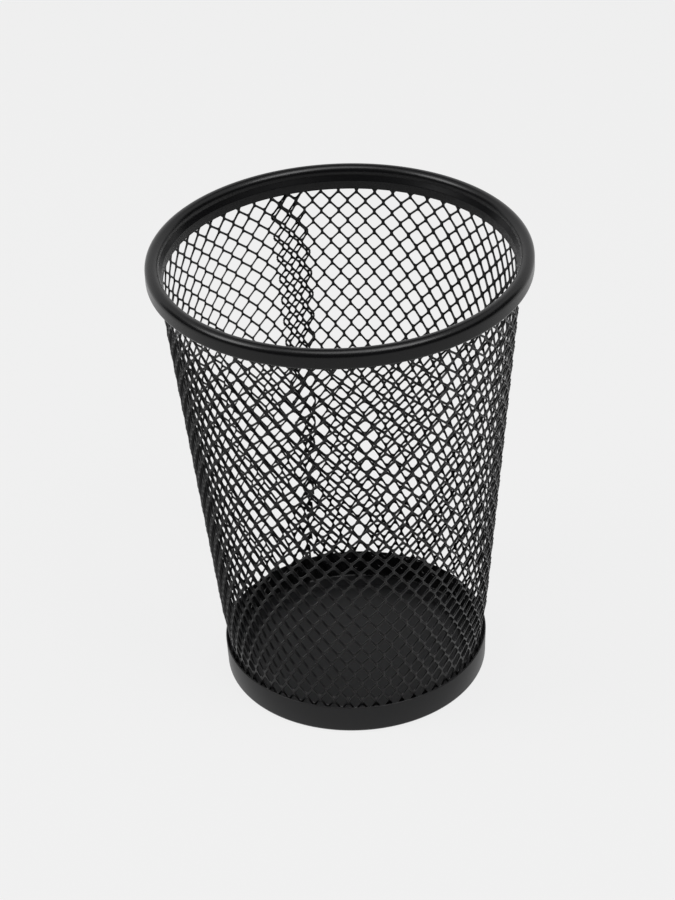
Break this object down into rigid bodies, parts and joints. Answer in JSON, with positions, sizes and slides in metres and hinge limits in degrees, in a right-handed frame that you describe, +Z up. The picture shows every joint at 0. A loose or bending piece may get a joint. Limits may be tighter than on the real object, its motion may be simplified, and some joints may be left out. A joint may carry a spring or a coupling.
{
  "type": "mesh pen cup",
  "caption": "Round tapered pen cup of black expanded steel mesh, with a rolled bead rim and a pressed base pan.",
  "frame": {"origin": "centre of the cup's foot, in the plane that it stands on", "axes": "+Z up through the open mouth; -Y towards the viewer of the picture, and the lapped seam of the mesh at the back, a little to the left"},
  "size_m": [0.08, 0.08, 0.103],
  "materials": {
    "rim_paint": "satin black powder coat",
    "mesh_paint": "satin black powder coat",
    "pan_paint": "satin black powder coat"
  },
  "bodies": {
    "root": {"rim": "rim_paint", "mesh_wall": "mesh_paint", "base_pan": "pan_paint"}
  },
  "joints": []
}
